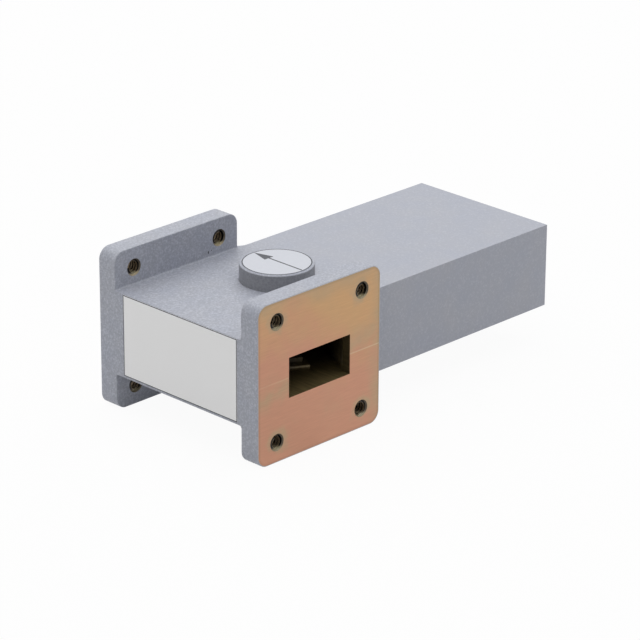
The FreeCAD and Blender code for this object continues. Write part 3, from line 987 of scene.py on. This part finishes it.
def ink_mesh(name, shapes, place, thickness):
    """A thin layer of ink: shapes are loops of flat points, laid on the surface by place."""
    mesh = bmesh.new()
    for shape in shapes:
        mesh.faces.new([mesh.verts.new((x, y, 0.0)) for x, y in shape])
    bmesh.ops.remove_doubles(mesh, verts=mesh.verts, dist=TOUCH)
    grown = bmesh.ops.extrude_face_region(mesh, geom=mesh.faces[:], use_keep_orig=True)
    top = [item for item in grown["geom"] if isinstance(item, bmesh.types.BMVert)]
    bmesh.ops.translate(mesh, verts=top, vec=(0.0, 0.0, thickness))
    bmesh.ops.recalc_face_normals(mesh, faces=mesh.faces)
    bmesh.ops.transform(mesh, matrix=place, verts=mesh.verts)
    data = bpy.data.meshes.new(name)
    mesh.to_mesh(data)
    mesh.free()
    data.materials.append(material_named("transfer_ink", label_ink))
    return data


def strips(outside, inside):
    """Flat quads between two closed loops with the same number of points."""
    count = len(outside)
    return [
        [outside[n], outside[(n + 1) % count], inside[(n + 1) % count], inside[n]]
        for n in range(count)
    ]


def circle(radius, sides):
    """Points round a circle."""
    angles = [math.tau * n / sides for n in range(sides)]
    return [(radius * math.cos(a), radius * math.sin(a)) for a in angles]


def rectangle(low, high, inset):
    """Corners of a rectangle drawn in by an inset."""
    left, bottom = low[0] + inset, low[1] + inset
    right, top = high[0] - inset, high[1] - inset
    return [(left, bottom), (right, bottom), (right, top), (left, top)]


def arrow_outline(sizes):
    """Loop of the direction arrow, which points along Y."""
    tip = sizes.arrow_length / 2
    neck = tip - sizes.head_length
    head = sizes.arrow_width / 2
    shaft = sizes.shaft_width / 2
    return [
        (0.0, tip),
        (-head, neck),
        (-shaft, neck),
        (-shaft, -tip),
        (shaft, -tip),
        (shaft, neck),
        (head, neck),
    ]


RING_SIDES = 128


class ISOLATOR_OT_labels(bpy.types.Operator):
    """Finish the two labels and print the arrow, its ring and the side label's border"""

    bl_idname = "isolator.labels"
    bl_label = "Labels"
    bl_options = {"REGISTER", "UNDO"}

    def execute(self, context):
        sizes, colours, _ = settings()
        ink = sizes.ink_thickness
        films = (
            ("arrow_label", 2, ARROW_LABEL_HIGH.z, colours.top_film),
            ("side_label", 0, SIDE_LABEL_LOW.x, colours.side_film),
        )
        for node, axis, level, tone in films:
            film = material_named(f"{node}_polyester", label_film, opaque(tone))
            place_piece(f"{node}_film", film_under_ink(node, axis, level, ink, film), "label_film", node)

        top = Matrix.Translation((JUNCTION.x, JUNCTION.y, ARROW_LABEL_HIGH.z - ink))
        shifted = top @ Matrix.Translation((sizes.arrow_shift, sizes.arrow_lead, 0.0))
        radius = (ARROW_LABEL_HIGH.x - ARROW_LABEL_LOW.x) / 2
        ring = strips(circle(radius, RING_SIDES), circle(radius - sizes.ring_width, RING_SIDES))

        # The side label's own axes: across runs to the front port and up is Z
        side = Matrix((
            (0.0, 0.0, -1.0, SIDE_LABEL_LOW.x + ink),
            (-1.0, 0.0, 0.0, 0.0),
            (0.0, 1.0, 0.0, 0.0),
            (0.0, 0.0, 0.0, 1.0),
        ))
        low = (-SIDE_LABEL_HIGH.y, SIDE_LABEL_LOW.z)
        high = (-SIDE_LABEL_LOW.y, SIDE_LABEL_HIGH.z)
        border = strips(rectangle(low, high, 0.0), rectangle(low, high, sizes.border_width))

        prints = (
            ("arrow_print", [arrow_outline(sizes)], shifted),
            ("arrow_ring", ring, top),
            ("side_label_border", border, side),
        )
        for name, shapes, place in prints:
            place_piece(name, ink_mesh(name, shapes, place, ink), "label_film")
        return {"FINISHED"}


# Stock of the inner pieces: dark tone, light tone, grain in mm, metallic, roughness
INNER_STOCK = {
    # Machined aluminium in the channels' film: brown, half dull
    "chromated_plug": ("5A4526", "9A7F50", 0.6, 0.5, 0.4),
    # Ground ceramic: nearly black, with a close grain
    "ferrite_ceramic": ("1B1B1E", "333338", 0.15, 0.0, 0.35),
    # Turned plastic: warm white and waxy
    "fluoropolymer": ("D9D9D2", "F2F2EC", 0.8, 0.0, 0.5),
    # Bare turned iron: grey metal with a fine grain
    "soft_iron": ("6E7073", "9C9EA1", 0.25, 1.0, 0.35),
    # Plating on a sintered magnet: bright metal, a little yellow
    "nickel_plate": ("A9A69C", "CFCBBF", 0.5, 1.0, 0.25),
    # Cast resin full of iron powder: dark grey and matt
    "iron_loaded_resin": ("1F2022", "3A3B3D", 0.2, 0.0, 0.75),
}
INNER_PIECES = {
    "pedestal_upper": "chromated_plug",
    "pedestal_lower": "chromated_plug",
    "ferrite_upper": "ferrite_ceramic",
    "ferrite_lower": "ferrite_ceramic",
    "ferrite_spacer": "fluoropolymer",
    "pole_disc_upper": "soft_iron",
    "pole_disc_lower": "soft_iron",
    "magnet_upper": "nickel_plate",
    "magnet_lower": "nickel_plate",
    "absorber_upper": "iron_loaded_resin",
    "absorber_lower": "iron_loaded_resin",
    "locating_pins": "soft_iron",
}


class ISOLATOR_OT_junction(bpy.types.Operator):
    """Finish the pieces inside the junction and the load arm"""

    bl_idname = "isolator.junction"
    bl_label = "Inner pieces"
    bl_options = {"REGISTER", "UNDO"}

    def execute(self, context):
        for node, stock in INNER_PIECES.items():
            surface = material_named(stock, plain_stock, *INNER_STOCK[stock])
            frame["nodes"][node].material_slots[0].material = surface
        return {"FINISHED"}


def seen_directly(tree):
    """1 for rays from the camera and for those that gloss or glass sends on, else 0."""
    rays = add(tree, "ShaderNodeLightPath").outputs
    seen = rays["Is Camera Ray"]
    for more in ("Is Glossy Ray", "Is Transmission Ray"):
        seen = add(tree, "ShaderNodeMath", {0: seen, 1: rays[more]}, operation="MAXIMUM").outputs[0]
    return seen


# Share of the light that the paper sends back, and the share of plain white that the eye sees in
# its place. What is left of the lit paper shows the shadow.
PAPER_REFLECTANCE = 0.86
GLOW_SHARE = 0.95


def floor_material():
    """Matt white paper: it takes the object's shadow, and its own white is lifted for the eye."""
    material = bpy.data.materials.new("white_paper")
    material.use_nodes = True
    tree = material.node_tree
    tree.nodes.clear()
    white = opaque((PAPER_REFLECTANCE, PAPER_REFLECTANCE, PAPER_REFLECTANCE))
    paper = add(tree, "ShaderNodeBsdfDiffuse", {"Color": white}).outputs["BSDF"]
    glow = add(tree, "ShaderNodeEmission", {"Color": shade("FFFFFF"), "Strength": 1.0}).outputs["Emission"]
    share = add(tree, "ShaderNodeMath", {0: seen_directly(tree), 1: GLOW_SHARE}, operation="MULTIPLY")
    mixed = add(tree, "ShaderNodeMixShader", {0: share.outputs[0], 1: paper, 2: glow})
    add(tree, "ShaderNodeOutputMaterial", {"Surface": mixed.outputs["Shader"]})
    return material


# Space between the flanges and the floor
FLOOR_GAP = 0.02 * MM


def make_floor(scene, stage):
    """A square floor just under the flanges."""
    half = stage.floor_half
    level = CAD_BOX[0].z - FLOOR_GAP
    corners = [(-half, -half, level), (half, -half, level), (half, half, level), (-half, half, level)]
    data = bpy.data.meshes.new("floor")
    data.from_pydata(corners, [], [(0, 1, 2, 3)])
    data.materials.append(floor_material())
    floor = bpy.data.objects.new("floor", data)
    scene.collection.objects.link(floor)


def make_light(scene, stage):
    """Even light from all sides, seen as white, and a wide soft lamp overhead."""
    world = bpy.data.worlds.new("studio")
    world.use_nodes = True
    scene.world = world
    tree = world.node_tree
    levels = {"Value": seen_directly(tree), "To Min": stage.sky_level, "To Max": 1.0}
    strength = add(tree, "ShaderNodeMapRange", levels).outputs["Result"]
    feed(tree, tree.nodes["Background"], {"Color": shade("FFFFFF"), "Strength": strength})

    lamp = bpy.data.lights.new("overhead", "AREA")
    lamp.shape = "SQUARE"
    lamp.size = stage.lamp_width
    lamp.energy = stage.lamp_power
    overhead = bpy.data.objects.new("overhead", lamp)
    overhead.location = stage.lamp_place
    overhead.rotation_mode = "QUATERNION"
    overhead.rotation_quaternion = (-overhead.location).to_track_quat("-Z", "Y")
    scene.collection.objects.link(overhead)


def make_camera(scene, stage):
    """The camera, turned about the point that it looks at."""
    turn, rise, roll = stage.azimuth, stage.elevation, stage.roll
    back = Vector((math.sin(turn) * math.cos(rise), -math.cos(turn) * math.cos(rise), math.sin(rise)))
    right = Vector((math.cos(turn), math.sin(turn), 0.0))
    up = back.cross(right)
    right, up = (
        right * math.cos(roll) + up * math.sin(roll),
        up * math.cos(roll) - right * math.sin(roll),
    )
    view = bpy.data.cameras.new("camera")
    view.sensor_width = 36.0
    view.lens = stage.lens
    camera = bpy.data.objects.new("camera", view)
    place = Matrix((right, up, back)).transposed().to_4x4()
    place.translation = Vector(stage.aim) + back * stage.distance
    camera.matrix_world = place
    scene.collection.objects.link(camera)
    scene.camera = camera


class ISOLATOR_OT_stage(bpy.types.Operator):
    """Make the floor, the light and the camera"""

    bl_idname = "isolator.stage"
    bl_label = "Stage"
    bl_options = {"REGISTER", "UNDO"}

    def execute(self, context):
        scene = context.scene
        _, _, stage = settings()
        make_floor(scene, stage)
        make_light(scene, stage)
        make_camera(scene, stage)
        scene.view_settings.view_transform = "Standard"
        return {"FINISHED"}


OPERATORS = (
    ISOLATOR_OT_body,
    ISOLATOR_OT_caps,
    ISOLATOR_OT_threads,
    ISOLATOR_OT_labels,
    ISOLATOR_OT_junction,
    ISOLATOR_OT_stage,
)


class ISOLATOR_PT_panel(bpy.types.Panel):
    """Sidebar panel with the isolator's pieces"""

    bl_label = "Waveguide isolator"
    bl_idname = "ISOLATOR_PT_panel"
    bl_space_type = "VIEW_3D"
    bl_region_type = "UI"
    bl_category = "Isolator"

    def draw(self, context):
        column = self.layout.column(align=True)
        for operator in OPERATORS:
            column.operator(operator.bl_idname)


GROUPS = {
    "isolator_sizes": IsolatorSizes,
    "isolator_colours": IsolatorColours,
    "isolator_stage": IsolatorStage,
}


def register():
    for name, group in GROUPS.items():
        bpy.utils.register_class(group)
        setattr(bpy.types.Scene, name, bpy.props.PointerProperty(type=group))
    for kind in (*OPERATORS, ISOLATOR_PT_panel):
        bpy.utils.register_class(kind)


def unregister():
    for kind in reversed((*OPERATORS, ISOLATOR_PT_panel)):
        bpy.utils.unregister_class(kind)
    for name, group in reversed(GROUPS.items()):
        delattr(bpy.types.Scene, name)
        bpy.utils.unregister_class(group)


def main():
    register()
    bpy.ops.isolator.body()
    bpy.ops.isolator.caps()
    bpy.ops.isolator.threads()
    bpy.ops.isolator.labels()
    bpy.ops.isolator.junction()
    bpy.ops.isolator.stage()


if __name__ == "__main__":
    main()
